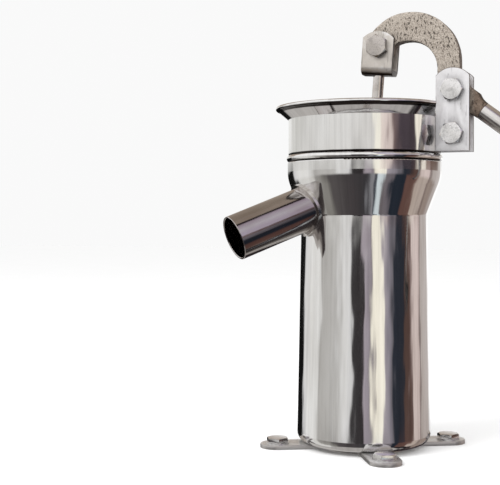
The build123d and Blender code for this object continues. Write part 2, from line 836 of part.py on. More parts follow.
yoke_floor_top = foot_bottom - foot_play
yoke_top = foot_top + foot_play
window_bottom = stop_bottom + 4
window_top = yoke_floor_top - yoke_floor_height - 2
with BuildPart() as piston_yoke:
    add(ring(yoke_bore, yoke_outer, crown_top, yoke_top))
    with BuildSketch(Plane.XY.offset(yoke_floor_top - yoke_floor_height)):
        Circle(yoke_bore)
        with PolarLocations(yoke_bore / 2, 4):
            Circle(yoke_drain_radius, mode=Mode.SUBTRACT)
    extrude(amount=yoke_floor_height)
    with BuildSketch(Plane.XY.offset(window_bottom)):
        with PolarLocations(yoke_bore, 4, start_angle=45):
            Rectangle(yoke_window_width, 1.5 * yoke_window_width)
    extrude(amount=window_top - window_bottom, mode=Mode.SUBTRACT)
piston_yoke.part.label = "piston_yoke"
export_step(piston_yoke.part, "parts/piston_yoke.step")

with BuildPart() as yoke_cap:
    add(ring(yoke_cap_hole, yoke_outer, yoke_top, yoke_top + yoke_floor_height))
yoke_cap.part.label = "yoke_cap"
export_step(yoke_cap.part, "parts/yoke_cap.step")
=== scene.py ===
import json
import math

import bmesh
import bpy
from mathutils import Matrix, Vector, noise


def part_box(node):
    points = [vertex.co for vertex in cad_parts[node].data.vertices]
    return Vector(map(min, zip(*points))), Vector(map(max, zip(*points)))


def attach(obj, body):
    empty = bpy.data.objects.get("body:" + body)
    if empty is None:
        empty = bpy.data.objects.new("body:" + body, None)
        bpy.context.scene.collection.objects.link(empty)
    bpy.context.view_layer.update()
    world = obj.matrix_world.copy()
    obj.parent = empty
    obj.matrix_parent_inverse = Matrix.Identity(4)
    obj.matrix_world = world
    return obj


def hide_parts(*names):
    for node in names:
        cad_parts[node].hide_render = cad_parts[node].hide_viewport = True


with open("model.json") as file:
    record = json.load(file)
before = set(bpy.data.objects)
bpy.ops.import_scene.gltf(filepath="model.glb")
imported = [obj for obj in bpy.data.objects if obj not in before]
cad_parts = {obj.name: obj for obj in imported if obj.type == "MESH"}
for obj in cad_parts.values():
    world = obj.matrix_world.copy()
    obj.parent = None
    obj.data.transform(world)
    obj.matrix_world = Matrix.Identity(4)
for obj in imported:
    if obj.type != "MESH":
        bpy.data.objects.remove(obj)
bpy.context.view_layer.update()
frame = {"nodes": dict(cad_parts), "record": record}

# A hand well pump: polished stainless pot, bell, cup and flared lip, a slanting spout, a fork
# bracket with a cast lever, and a handle. Metres, in the frame's own axes.

NODES = frame["nodes"]
MOUNTS = {mount["name"]: mount for mount in frame["record"]["mounts"]}
SPOUT_AXIS = Vector(MOUNTS["spout_outlet"]["axis"]).normalized()
BODIES = frame["record"]["behaviour"]["bodies"]


# ---- Material kit --------------------------------------------------------------------------

class Shader:
    """A Principled material and the short calls that build its node tree."""

    def __init__(self, name, metallic, roughness, color):
        self.material = bpy.data.materials.new(name)
        self.material.use_nodes = True
        self.tree = self.material.node_tree
        self.surface = self.tree.nodes["Principled BSDF"]
        self.surface.inputs["Metallic"].default_value = metallic
        self.surface.inputs["Roughness"].default_value = roughness
        self.surface.inputs["Base Color"].default_value = (*color, 1.0)

    def node(self, kind, **settings):
        made = self.tree.nodes.new(kind)
        for key, value in settings.items():
            setattr(made, key, value)
        return made

    def feed(self, source, target):
        """Links an output to an input, or sets the input if the source is a plain value."""
        if isinstance(source, bpy.types.NodeSocket):
            self.tree.links.new(source, target)
        else:
            target.default_value = source

    def position(self):
        return self.node("ShaderNodeTexCoord").outputs["Object"]

    def split(self, vector):
        """The X, Y and Z of a vector, by name."""
        made = self.node("ShaderNodeSeparateXYZ")
        self.feed(vector, made.inputs[0])
        return made.outputs

    def math(self, operation, first, second=0.0):
        made = self.node("ShaderNodeMath", operation=operation)
        self.feed(first, made.inputs[0])
        self.feed(second, made.inputs[1])
        return made.outputs[0]

    def stretched(self, vector, scale, rotation=(0.0, 0.0, 0.0)):
        made = self.node("ShaderNodeMapping")
        self.feed(vector, made.inputs["Vector"])
        made.inputs["Scale"].default_value = scale
        made.inputs["Rotation"].default_value = rotation
        return made.outputs["Vector"]

    def around(self, radius):
        """Position unrolled from a cylinder about the Z axis: X is arc length and Z is height."""
        place = self.split(self.position())
        angle = self.math("ARCTAN2", place["Y"], place["X"])
        joined = self.node("ShaderNodeCombineXYZ")
        self.feed(self.math("MULTIPLY", angle, radius), joined.inputs["X"])
        self.feed(place["Z"], joined.inputs["Z"])
        return joined.outputs[0]

    def noise(self, vector, scale, detail=4.0, roughness=0.55):
        made = self.node("ShaderNodeTexNoise")
        self.feed(vector, made.inputs["Vector"])
        made.inputs["Scale"].default_value = scale
        made.inputs["Detail"].default_value = detail
        made.inputs["Roughness"].default_value = roughness
        return made.outputs["Fac"]

    def cells(self, vector, scale):
        made = self.node("ShaderNodeTexVoronoi")
        self.feed(vector, made.inputs["Vector"])
        made.inputs["Scale"].default_value = scale
        return made.outputs["Distance"]

    def ramp(self, factor, *stops):
        """A colour ramp. Each stop is (place, grey) or (place, (r, g, b))."""
        made = self.node("ShaderNodeValToRGB")
        self.feed(factor, made.inputs["Fac"])
        elements = made.color_ramp.elements
        while len(elements) < len(stops):
            elements.new(0.5)
        for element, (place, value) in zip(elements, stops):
            element.position = place
            rgb = value if isinstance(value, tuple) else (value, value, value)
            element.color = (*rgb, 1.0)
        return made.outputs["Color"]

    def mix(self, factor, first, second, blend="MIX"):
        made = self.node("ShaderNodeMix", data_type="RGBA", blend_type=blend)
        for value, target in zip((factor, first, second), (made.inputs[0], made.inputs[6], made.inputs[7])):
            self.feed(value if not isinstance(value, tuple) else (*value, 1.0), target)
        return made.outputs[2]

    def range(self, value, low, high, from_low=0.3, from_high=0.7):
        made = self.node("ShaderNodeMapRange")
        self.feed(value, made.inputs["Value"])
        made.inputs["From Min"].default_value = from_low
        made.inputs["From Max"].default_value = from_high
        made.inputs["To Min"].default_value = low
        made.inputs["To Max"].default_value = high
        return made.outputs["Result"]

    def facing(self, axis):
        """How squarely the surface faces along one of the object's own axes, from 0 to 1."""
        normal = self.split(self.node("ShaderNodeTexCoord").outputs["Normal"])
        return self.math("ABSOLUTE", normal[axis])

    def color(self, source):
        self.feed(source, self.surface.inputs["Base Color"])

    def roughness(self, source):
        self.feed(source, self.surface.inputs["Roughness"])

    def bump(self, height, distance, strength=1.0, under=None):
        made = self.node("ShaderNodeBump")
        self.feed(height, made.inputs["Height"])
        made.inputs["Distance"].default_value = distance
        made.inputs["Strength"].default_value = strength
        if under is not None:
            self.feed(under, made.inputs["Normal"])
        self.feed(made.outputs["Normal"], self.surface.inputs["Normal"])
        return made.outputs["Normal"]


SHEET_RADIUS = 0.055                   # the sheet's patterns are unrolled at this radius
# Bands of painted shade along the sheet's joints, given as heights from the rim and the bead.
RIM_SHADE_BAND = (-0.0048, -0.0023)         # from the rolled rim's top
UPPER_SHADE_BAND = (-0.0002, 0.0014)        # from the bead's top
LOWER_SHADE_BAND = (-0.0003, 0.0011)        # from the bead's underside
SHADE_WANDER = 0.0012
SHADE_EDGE = 0.0002
PAINTED_SHADE = (0.03, 0.024, 0.022)


def painted_shade_bands():
    """Heights where shade is painted: under the rolled rim, and above and below the bead."""
    rim_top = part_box("flared_lip")[1][2]
    bead_low, bead_high = (corner[2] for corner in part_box("joint_bead"))
    edges = ((rim_top, RIM_SHADE_BAND), (bead_high, UPPER_SHADE_BAND), (bead_low, LOWER_SHADE_BAND))
    return [(height + low, height + high) for height, (low, high) in edges]


def polished_sheet():
    """Mirror-polished stainless sheet: buffing lines and streaks, slow waves, painted shade in the joints.
    """
    shader = Shader("polished_stainless", 1.0, 0.1, (0.8, 0.79, 0.78))
    wrapped = shader.around(SHEET_RADIUS)
    lines = shader.noise(shader.stretched(wrapped, (1.0, 1.0, 0.02)), 2600.0, 3.0, 0.6)
    streaks = shader.noise(shader.stretched(wrapped, (1.0, 1.0, 0.03)), 260.0, 3.0, 0.6)
    smears = shader.noise(shader.stretched(wrapped, (1.0, 1.0, 0.22)), 38.0, 4.0, 0.6)
    waves = shader.noise(shader.stretched(wrapped, (1.0, 1.0, 0.2)), 52.0, 2.0, 0.5)
    clouds = shader.ramp(
        smears, (0.3, (0.7, 0.685, 0.67)), (0.55, (0.8, 0.79, 0.785)), (0.8, (0.86, 0.86, 0.86)),
    )
    streaked = shader.mix(0.55, clouds, shader.ramp(streaks, (0.36, 0.8), (0.56, 1.0)), "MULTIPLY")
    wander = shader.math("MULTIPLY", shader.math("SUBTRACT", smears, 0.5), SHADE_WANDER)
    uneven = shader.math("ADD", shader.split(shader.position())["Z"], wander)
    unshaded = 1.0
    for low, high in painted_shade_bands():
        middle = (low + high) / 2
        reach = (high - low) / 2
        away = shader.math("ABSOLUTE", shader.math("SUBTRACT", uneven, middle))
        outside = shader.range(away, 0.0, 1.0, reach - SHADE_EDGE, reach + SHADE_EDGE)
        unshaded = shader.math("MULTIPLY", unshaded, outside)
    # Painted shade: the bands take a near-black colour.
    shader.color(shader.mix(unshaded, PAINTED_SHADE, streaked))
    shader.roughness(shader.math("ADD", shader.range(lines, 0.0, 0.03), shader.range(smears, 0.03, 0.09)))
    slow = shader.bump(waves, 0.003, 0.4)
    shader.bump(lines, 0.00002, 0.5, slow)
    return shader.material


def polished_tube():
    """Polished stainless tube, with its buffing lines along the spout; its colours are kept darker than the
    sheet's, as painted shade.
    """
    shader = Shader("polished_spout", 1.0, 0.12, (0.78, 0.765, 0.75))
    along = SPOUT_AXIS.rotation_difference(Vector((0.0, 0.0, 1.0))).to_euler()
    turned = shader.stretched(shader.position(), (1.0, 1.0, 1.0), tuple(along))
    lines = shader.noise(shader.stretched(turned, (1.0, 1.0, 0.03)), 1500.0, 3.0, 0.6)
    smears = shader.noise(shader.stretched(turned, (1.0, 1.0, 0.25)), 90.0, 3.0, 0.6)
    # Painted shade: the tube's colours sit well below the polished sheet's.
    shader.color(shader.ramp(
        smears, (0.3, (0.42, 0.38, 0.36)), (0.6, (0.53, 0.5, 0.49)), (0.8, (0.66, 0.64, 0.64)),
    ))
    shader.roughness(shader.math("ADD", shader.range(lines, 0.0, 0.04), shader.range(smears, 0.04, 0.1)))
    shader.bump(lines, 0.00003, 0.5)
    return shader.material


def satin_plate(name, faces, edges, axis="Y"):
    """Satin stainless plate: pale brushed faces with a few scuffs, and painted shade on the edges and side
    faces.
    """
    shader = Shader(name, 0.8, 0.3, faces)
    place = shader.position()
    grain = shader.noise(place, 3200.0, 2.0, 0.7)
    brush = shader.noise(shader.stretched(place, (1.0, 1.0, 0.06)), 1800.0, 3.0, 0.6)
    cloud = shader.noise(place, 70.0, 5.0, 0.6)
    slanted = shader.stretched(place, (1.0, 1.0, 0.12), (0.0, 0.9, 0.0))
    scuffs = shader.ramp(shader.noise(slanted, 420.0, 2.0, 0.5), (0.66, 1.0), (0.7, 0.45), (0.74, 1.0))
    dull = tuple(0.84 * value for value in faces)
    pale = shader.ramp(cloud, (0.3, dull), (0.5, faces), (0.75, (0.9, 0.89, 0.9)))
    scuffed = shader.mix(0.6, pale, scuffs, "MULTIPLY")
    # Painted shade: faces turned away from the axis take the dark edges colour.
    side = shader.ramp(shader.facing(axis), (0.62, 1.0), (0.82, 0.0))
    shader.color(shader.mix(side, scuffed, edges))
    shader.roughness(shader.math("ADD", shader.range(cloud, 0.24, 0.38), shader.range(brush, 0.0, 0.08)))
    rough = shader.bump(grain, 0.00006, 0.4)
    shader.bump(brush, 0.00004, 0.35, rough)
    return shader.material


def forged_bolt(name, bright, axis="Y", side=0.28):
    """Forged stainless fastener: end faces a little dulled, with small pits, and painted shade on the faces
    turned from its axis.
    """
    shader = Shader(name, 1.0, 0.16, bright)
    place = shader.position()
    cloud = shader.noise(place, 210.0, 5.0, 0.6)
    pits = shader.noise(place, 1700.0, 3.0, 0.6)
    dull = tuple(0.74 * value for value in bright)
    worn = shader.ramp(cloud, (0.3, dull), (0.48, bright), (0.8, tuple(1.08 * value for value in bright)))
    dots = shader.ramp(pits, (0.34, (0.3, 0.27, 0.26)), (0.4, (1.0, 1.0, 1.0)))
    pitted = shader.mix(0.7, worn, dots, "MULTIPLY")
    # Painted shade: faces turned away from the axis are darkened by the factor side.
    side_shade = shader.ramp(shader.facing(axis), (0.3, side), (0.62, 1.0))
    shader.color(shader.mix(1.0, pitted, side_shade, "MULTIPLY"))
    shader.roughness(shader.range(cloud, 0.2, 0.1))
    shader.bump(pits, 0.00005, 0.3)
    return shader.material


def drawn_bar():
    """Drawn stainless bar, rubbed bright, with fine scratches and slight staining."""
    shader = Shader("drawn_bar", 1.0, 0.16, (0.76, 0.74, 0.72))
    place = shader.position()
    stain = shader.noise(place, 45.0, 6.0, 0.6)
    scratch = shader.noise(shader.stretched(place, (0.08, 1.0, 0.4)), 1300.0, 4.0, 0.65)
    shader.color(shader.ramp(
        stain, (0.25, (0.46, 0.42, 0.39)), (0.5, (0.66, 0.63, 0.61)), (0.8, (0.78, 0.76, 0.75)),
    ))
    shader.roughness(shader.math("ADD", shader.range(stain, 0.1, 0.2), shader.range(scratch, 0.0, 0.06)))
    shader.bump(scratch, 0.00005, 0.5)
    return shader.material


ARM_SHADE_FADE = 0.004              # half the width over which painted shade darkens the casting past the bracket


def sand_casting():
    """Shot-blasted steel casting: beige grey, with small dark pits and nicks, and painted shade on the side
    faces and past the bracket.
    """
    shader = Shader("sand_casting", 0.45, 0.55, (0.56, 0.5, 0.43))
    place = shader.position()
    grain = shader.noise(place, 1500.0, 4.0, 0.7)
    fine = shader.noise(place, 2600.0, 3.0, 0.7)
    cloud = shader.noise(place, 45.0, 5.0, 0.65)
    nicks = shader.noise(shader.stretched(place, (1.0, 1.0, 0.45), (0.0, 0.7, 0.0)), 700.0, 3.0, 0.6)
    speckle = shader.ramp(
        grain, (0.36, (0.17, 0.14, 0.12)), (0.47, (0.43, 0.375, 0.32)), (0.62, (0.66, 0.6, 0.53)),
    )
    shade = shader.ramp(cloud, (0.3, (0.78, 0.76, 0.74)), (0.65, (1.0, 1.0, 1.0)))
    body = shader.mix(0.9, speckle, shade, "MULTIPLY")
    patchy = shader.math("ADD", nicks, shader.range(cloud, -0.05, 0.07))
    holes = shader.ramp(patchy, (0.395, (0.1, 0.085, 0.075)), (0.45, (1.0, 1.0, 1.0)))
    pitted = shader.mix(0.85, body, holes, "MULTIPLY")
    # Painted shade: faces turned away from Y are darkened.
    rim = shader.ramp(shader.facing("Y"), (0.35, (0.34, 0.3, 0.28)), (0.62, (1.0, 1.0, 1.0)))
    side_shaded = shader.mix(1.0, pitted, rim, "MULTIPLY")
    # Painted shade: past the bracket plate the casting is darkened by a brown factor.
    plate_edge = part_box("bracket_plate_front")[1][0]
    beyond = shader.range(shader.split(place)["X"], 0.0, 1.0, plate_edge - ARM_SHADE_FADE, plate_edge + ARM_SHADE_FADE)
    shader.color(shader.mix(beyond, side_shaded, shader.mix(1.0, side_shaded, (0.36, 0.3, 0.26), "MULTIPLY")))
    shader.roughness(shader.range(fine, 0.42, 0.66))
    coarse = shader.bump(grain, 0.0003, 0.6)
    shader.bump(shader.math("MINIMUM", patchy, 0.4), 0.002, 0.6, coarse)
    return shader.material


def weld_bead():
    """Weld metal ground and buffed back: dark heat tints over faint ripples."""
    shader = Shader("weld_bead", 1.0, 0.2, (0.5, 0.47, 0.45))
    place = shader.position()
    tint = shader.noise(place, 130.0, 4.0, 0.6)
    ripple = shader.noise(place, 420.0, 2.0, 0.5)
    shader.color(shader.ramp(
        tint, (0.3, (0.36, 0.32, 0.3)), (0.5, (0.56, 0.53, 0.5)), (0.7, (0.7, 0.68, 0.67)),
    ))
    shader.roughness(shader.range(tint, 0.1, 0.24))
    shader.bump(ripple, 0.0002, 0.4)
    return shader.material


TOOL_MARKS = 9000.0           # radians of the marks' wave in one metre


def turned_metal(name, dark, light):
    """Turned inner parts: fine concentric tool marks about the pump's axis."""
    shader = Shader(name, 1.0, 0.3, light)
    place = shader.position()
    parts = shader.split(place)
    squares = shader.math(
        "ADD", shader.math("POWER", parts["X"], 2.0), shader.math("POWER", parts["Y"], 2.0),
    )
    marks = shader.math("SINE", shader.math("MULTIPLY", shader.math("SQRT", squares), TOOL_MARKS))
    cloud = shader.noise(place, 80.0, 5.0, 0.6)
    shader.color(shader.ramp(cloud, (0.3, dark), (0.7, light)))
    shader.roughness(shader.range(cloud, 0.25, 0.45))
    shader.bump(marks, 0.00002, 0.4)
    return shader.material


def black_rubber():
    """Moulded black rubber, a little dusty in patches."""
    shader = Shader("grip_rubber", 0.0, 0.6, (0.03, 0.03, 0.032))
    place = shader.position()
    dust = shader.noise(place, 60.0, 5.0, 0.6)
    fine = shader.noise(place, 2200.0, 2.0, 0.6)
    shader.color(shader.ramp(dust, (0.35, (0.018, 0.018, 0.019)), (0.7, (0.05, 0.049, 0.047))))
    shader.roughness(shader.range(dust, 0.45, 0.7))
    shader.bump(fine, 0.00012, 0.5)
    return shader.material


def oiled_leather():
    """Leather cup of the piston."""
    shader = Shader("seal_leather", 0.0, 0.5, (0.3, 0.17, 0.08))
    place = shader.position()
    grain = shader.cells(place, 900.0)
    cloud = shader.noise(place, 60.0, 4.0, 0.6)
    shader.color(shader.ramp(cloud, (0.3, (0.17, 0.09, 0.04)), (0.7, (0.36, 0.21, 0.1))))
    shader.roughness(shader.range(cloud, 0.4, 0.6))
    shader.bump(grain, 0.0003, 0.6)
    return shader.material


MATERIALS = {
    "polished_steel": polished_sheet(),
    "spout_steel": polished_tube(),
    "weld_steel": weld_bead(),
    # The last colour of a satin plate is its painted shade on the edges and side faces.
    "satin_steel": satin_plate("satin_stainless", (0.77, 0.755, 0.765), (0.1, 0.08, 0.07)),
    "bolt_steel": forged_bolt("forged_fastener", (0.74, 0.725, 0.72)),
    "rod_steel": drawn_bar(),
    "cast_steel": sand_casting(),
    "inner_steel": turned_metal("turned_stainless", (0.5, 0.49, 0.48), (0.72, 0.71, 0.7)),
    "brass": turned_metal("turned_brass", (0.55, 0.38, 0.16), (0.85, 0.66, 0.34)),
    "grip_rubber": black_rubber(),
    "seal_leather": oiled_leather(),
    "gasket_rubber": black_rubber(),
}
# The last number is the painted shade on the faces turned from the upright axis.
UPRIGHT_BOLTS = forged_bolt("upright_fastener", (0.74, 0.725, 0.72), "Z", 0.8)
SPECIAL = {
    "anchor_bolts": UPRIGHT_BOLTS,
    "anchor_washers": UPRIGHT_BOLTS,
    "piston_screws": UPRIGHT_BOLTS,
    # For the clevis and the foot too, the last colour is painted shade on the edges and side faces.
    "clevis": satin_plate("clevis_steel", (0.6, 0.555, 0.51), (0.035, 0.025, 0.022)),
    # The clevis pin is the same fastener steel in darker colours, with the same painted shade on its side
    # faces.
    "clevis_bolt": forged_bolt("darker_fastener", (0.5, 0.46, 0.43)),
    "foot_cross": satin_plate("foot_steel", (0.7, 0.69, 0.68), (0.45, 0.43, 0.42), "Z"),
}
SLOTS = {entry["node"]: entry["material_slot"] for entry in frame["record"]["subparts"]}

for node_name, node_object in NODES.items():
    node_object.data.materials.clear()
    node_object.data.materials.append(SPECIAL.get(node_name, MATERIALS[SLOTS[node_name]]))


# ---- Pieces --------------------------------------------------------------------------------

def body_of_node(node_name):
    return next(body for body, members in BODIES.items() if node_name in members)


SAME_PLACE = 1e-6             # vertices this near are one
FLAT_ANGLE = 0.5              # degrees
PLATE_ROUND = 0.0005
CLEVIS_ROUND = 0.0006
FASTENER_ROUND = 0.0002
ROUND_SEGMENTS = 3


def softened(node_name, width, sharpest=35.0):
    """A copy of a CAD node with edges over this many degrees rounded, which stands in for it."""
    source = NODES[node_name]
    mesh = source.data.copy()
    shape = bmesh.new()
    shape.from_mesh(mesh)
    bmesh.ops.remove_doubles(shape, verts=shape.verts, dist=SAME_PLACE)
    flat = math.radians(FLAT_ANGLE)
    bmesh.ops.dissolve_limit(shape, angle_limit=flat, verts=shape.verts, edges=shape.edges)
    shape.to_mesh(mesh)
    shape.free()
    mesh.normals_split_custom_set([(0.0, 0.0, 0.0)] * len(mesh.loops))
    piece = bpy.data.objects.new(node_name + "_finished", mesh)
    bpy.context.scene.collection.objects.link(piece)
    mesh.polygons.foreach_set("use_smooth", [True] * len(mesh.polygons))
    bevel = piece.modifiers.new("rounded_edges", "BEVEL")
    bevel.width = width
    bevel.segments = ROUND_SEGMENTS
    bevel.limit_method = "ANGLE"
    bevel.angle_limit = math.radians(sharpest)
    bevel.harden_normals = True
    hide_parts(node_name)
    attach(piece, body_of_node(node_name))
    return piece


def new_piece(name, mesh, node_names, material_slot):
    """A finished mesh that stands in for some CAD nodes of one body."""
    piece = bpy.data.objects.new(name, mesh)
    bpy.context.scene.collection.objects.link(piece)
    mesh.polygons.foreach_set("use_smooth", [True] * len(mesh.polygons))
    if not mesh.materials:
        mesh.materials.append(MATERIALS[material_slot])
    if node_names:
        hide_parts(*node_names)
        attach(piece, body_of_node(node_names[0]))
    return piece


def from_bmesh(name, shape):
    mesh = bpy.data.meshes.new(name)
    bmesh.ops.recalc_face_normals(shape, faces=shape.faces)
    shape.to_mesh(mesh)
    shape.free()
    return mesh


for plate_name in ("bracket_plate_front", "bracket_plate_rear", "foot_cross"):
    softened(plate_name, PLATE_ROUND)
softened("clevis", CLEVIS_ROUND)


# ---- Casting: the CAD shape with rounded edges and an uneven, pitted skin ----

CAST_GRID = 0.0007
CAST_SMOOTHING = 6
CAST_SWELLS = ((70.0, 0.00022), (260.0, 0.0001), (700.0, 0.00005))    # frequency, height
CAST_SINK = 0.00012           # the skin lies this far in, so that its swells stay inside the CAD shape


def rough_casting():
    source = NODES["lever_casting"]
    mesh = source.data.copy()
    work = bpy.data.objects.new("casting_work", mesh)
    bpy.context.scene.collection.objects.link(work)
    grid = work.modifiers.new("grid", "REMESH")
    grid.mode = "VOXEL"
    grid.voxel_size = CAST_GRID
    relax = work.modifiers.new("relax", "SMOOTH")
    relax.iterations = CAST_SMOOTHING
    relax.factor = 0.5
    depsgraph = bpy.context.evaluated_depsgraph_get()
    skin = bpy.data.meshes.new_from_object(work.evaluated_get(depsgraph))
    bpy.data.objects.remove(work)
    normals = [vertex.normal.copy() for vertex in skin.vertices]
    for vertex, normal in zip(skin.vertices, normals):
        height = sum(size * noise.noise(vertex.co * frequency) for frequency, size in CAST_SWELLS)
        vertex.co += normal * (height - CAST_SINK)
    skin.materials.clear()
    return new_piece("rough_casting", skin, ["lever_casting"], "cast_steel")


rough_casting()


# ---- Fasteners: rounded heads, and real threads on their ends ----

THREAD_PITCH = 0.0015
THREAD_DEPTH = 0.0008
THREAD_SIDES = 28
THREAD_STEPS = 6              # rings in one pitch
THREAD_CREST = 1.25           # over 1, so that the crests are a little flat
TIP_TAPER = 0.0012
SHANK_OVERLAP = 0.002         # the plain shank reaches this far into the thread
CROWN_ANGLE = 18.0            # edges of a head's turned crown count as sharp


def thread_rings(start, direction, length, radius):
    """A screw thread, from its start to a tapered tip, as a closed bmesh."""
    shape = bmesh.new()
    turn = direction.to_track_quat("Z", "Y").to_matrix()
    count = max(2, round(length / THREAD_PITCH * THREAD_STEPS))
    rings = []
    for ring in range(count + 1):
        along = length * ring / count
        limit = radius - max(0.0, along - (length - TIP_TAPER))
        row = []
        for side in range(THREAD_SIDES):
            share = side / THREAD_SIDES
            phase = (along / THREAD_PITCH - share) % 1.0
            crest = min(1.0, THREAD_CREST * abs(2.0 * phase - 1.0))
            reach = min(limit, radius - THREAD_DEPTH * (1.0 - crest))
            angle = 2 * math.pi * share
            point = turn @ Vector((reach * math.cos(angle), reach * math.sin(angle), along))
            row.append(shape.verts.new(start + point))
        rings.append(row)
    for lower, upper in zip(rings, rings[1:]):
        for side in range(THREAD_SIDES):
            after = (side + 1) % THREAD_SIDES
            shape.faces.new((lower[side], lower[after], upper[after], upper[side]))
    shape.faces.new(rings[0][::-1])
    shape.faces.new(rings[-1])
    return shape


def shorten(mesh, direction, cut):
    """Moves the shank's end back, so that the thread can take its place."""
    for vertex in mesh.vertices:
        beyond = vertex.co.dot(direction) - cut
        if beyond > 0:
            vertex.co -= direction * beyond


def threaded(node_name, places, direction, length, radius):
    """A rounded copy of a bolt whose shanks end in a real thread of this length."""
    piece = softened(node_name, FASTENER_ROUND, CROWN_ANGLE)
    ends = [place.dot(direction) for place in places]
    shorten(piece.data, direction, min(ends) - length + SHANK_OVERLAP)
    for number, place in enumerate(places):
        start = place - direction * length
        thread = from_bmesh("thread", thread_rings(start, direction, length, radius))
        end = new_piece(f"{node_name}_thread_{number}", thread, [], SLOTS[node_name])
        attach(end, body_of_node(node_name))


for nut_name in ("pivot_nut", "clamp_nut", "clevis_nut"):
    softened(nut_name, FASTENER_ROUND, CROWN_ANGLE)

BOLT_RADIUS = 0.005
CROSS_THREAD = 0.013
for bolt_name in ("pivot_bolt", "clamp_bolt", "clevis_bolt"):
    low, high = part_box(bolt_name)
    tip = Vector(((low[0] + high[0]) / 2, high[1], (low[2] + high[2]) / 2))
    threaded(bolt_name, [tip], Vector((0.0, 1.0, 0.0)), CROSS_THREAD, BOLT_RADIUS)

STUD_THREAD = 0.0212
ANCHOR_CIRCLE = MOUNTS["anchor_studs"]["dims"]["pcd_mm"] / 2000
ANCHOR_TURN = math.radians(29.0)       # azimuth of the first anchor bolt
stud_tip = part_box("anchor_bolts")[0][2]
anchor_tips = [
    Vector((ANCHOR_CIRCLE * math.cos(ANCHOR_TURN + quarter * math.pi / 2),
            ANCHOR_CIRCLE * math.sin(ANCHOR_TURN + quarter * math.pi / 2), stud_tip))
    for quarter in range(4)
]
threaded("anchor_bolts", anchor_tips, Vector((0.0, 0.0, -1.0)), STUD_THREAD, BOLT_RADIUS)


# ---- Grip: ribbed rubber sleeve with a collar at each end ----

GRIP_SIDES = 64
GRIP_SLOPE = math.radians(15.0)
GRIP_DIRECTION = Vector((math.cos(GRIP_SLOPE), 0.0, -math.sin(GRIP_SLOPE)))
GRIP_LENGTH = 0.112
GRIP_RADIUS = 0.0124
GRIP_BORE = 0.0069
RIB_PITCH = 0.0042
RIB_DEPTH = 0.0011
RIB_STEPS = 8
GRIP_COLLAR = 0.011
GRIP_BELLY = 0.0004           # the ribs swell by this much half way along


def grip_profile():
    """Distances along the grip and radii, from the bore at one end to the bore at the other."""
    collar = [
        (0.0, GRIP_BORE),
        (0.0, GRIP_RADIUS - 0.0025),
        (0.0005, GRIP_RADIUS - 0.001),
        (0.0018, GRIP_RADIUS),
        (GRIP_COLLAR - 0.001, GRIP_RADIUS),
        (GRIP_COLLAR, GRIP_RADIUS - RIB_DEPTH),
    ]
    ribs = round((GRIP_LENGTH - 2 * GRIP_COLLAR) / RIB_PITCH)
    pitch = (GRIP_LENGTH - 2 * GRIP_COLLAR) / ribs
    ribbed = []
    for step in range(1, ribs * RIB_STEPS):
        phase = step / RIB_STEPS
        swell = 1.0 - abs(math.cos(math.pi * phase)) ** 3
        belly = GRIP_BELLY * math.sin(math.pi * step / (ribs * RIB_STEPS))
        radius = GRIP_RADIUS - GRIP_BELLY - RIB_DEPTH * (1.0 - swell) + belly
        ribbed.append((GRIP_COLLAR + phase * pitch, radius))
    far_collar = [(GRIP_LENGTH - along, radius) for along, radius in reversed(collar)]
    return collar + ribbed + far_collar


def ribbed_grip():
    low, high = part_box("handle_grip")
    middle = (Vector(low) + Vector(high)) / 2
    start = middle - GRIP_DIRECTION * GRIP_LENGTH / 2
    side_axis = Vector((0.0, 1.0, 0.0))
    up_axis = GRIP_DIRECTION.cross(side_axis)
    shape = bmesh.new()
    rings = []
    for along, radius in grip_profile():
        row = []
        for side in range(GRIP_SIDES):
            angle = 2 * math.pi * side / GRIP_SIDES
            spoke = side_axis * math.cos(angle) + up_axis * math.sin(angle)
            row.append(shape.verts.new(start + GRIP_DIRECTION * along + spoke * radius))
        rings.append(row)
    for lower, upper in zip(rings, rings[1:] + rings[:1]):
        for side in range(GRIP_SIDES):
            after = (side + 1) % GRIP_SIDES
            shape.faces.new((lower[side], lower[after], upper[after], upper[side]))
    return new_piece("ribbed_grip", from_bmesh("ribbed_grip", shape), ["handle_grip"], "grip_rubber")


ribbed_grip()


# ---- Floor, light and camera ---------------------------------------------------------------

FLOOR_HALF = 6.0              # half its side
bpy.context.scene.view_settings.view_transform = "Standard"


def pale_floor():
    """A large plain floor under the feet, without sheen, to meet the backdrop. No reflection shows it."""
    shape = bmesh.new()
    bmesh.ops.create_grid(shape, x_segments=4, y_segments=4, size=FLOOR_HALF)
    mesh = bpy.data.meshes.new("floor")
    shape.to_mesh(mesh)
    shape.free()
    floor = bpy.data.objects.new("floor", mesh)
    bpy.context.scene.collection.objects.link(floor)
    shader = Shader("pale_floor", 0.0, 0.7, (0.95, 0.95, 0.95))
    shader.surface.inputs["Specular IOR Level"].default_value = 0.0
    cloud = shader.noise(shader.position(), 9.0, 6.0, 0.6)
    shader.color(shader.ramp(cloud, (0.3, (0.94, 0.94, 0.938)), (0.7, (0.956, 0.956, 0.956))))
    floor.data.materials.append(shader.material)
    floor.visible_glossy = False


pale_floor()

CAMERA_DISTANCE = 0.903
CAMERA_HEIGHT = 0.1857
CAMERA_AZIMUTH = -74.0        # of the camera's place, seen from the pump's axis
CAMERA_TURN = 5.97            # the view turns this far to the left of the pump's axis
CAMERA_PITCH = 1.18           # and this far down
FOCAL = 78.5                  # millimetres
SENSOR = 36.0


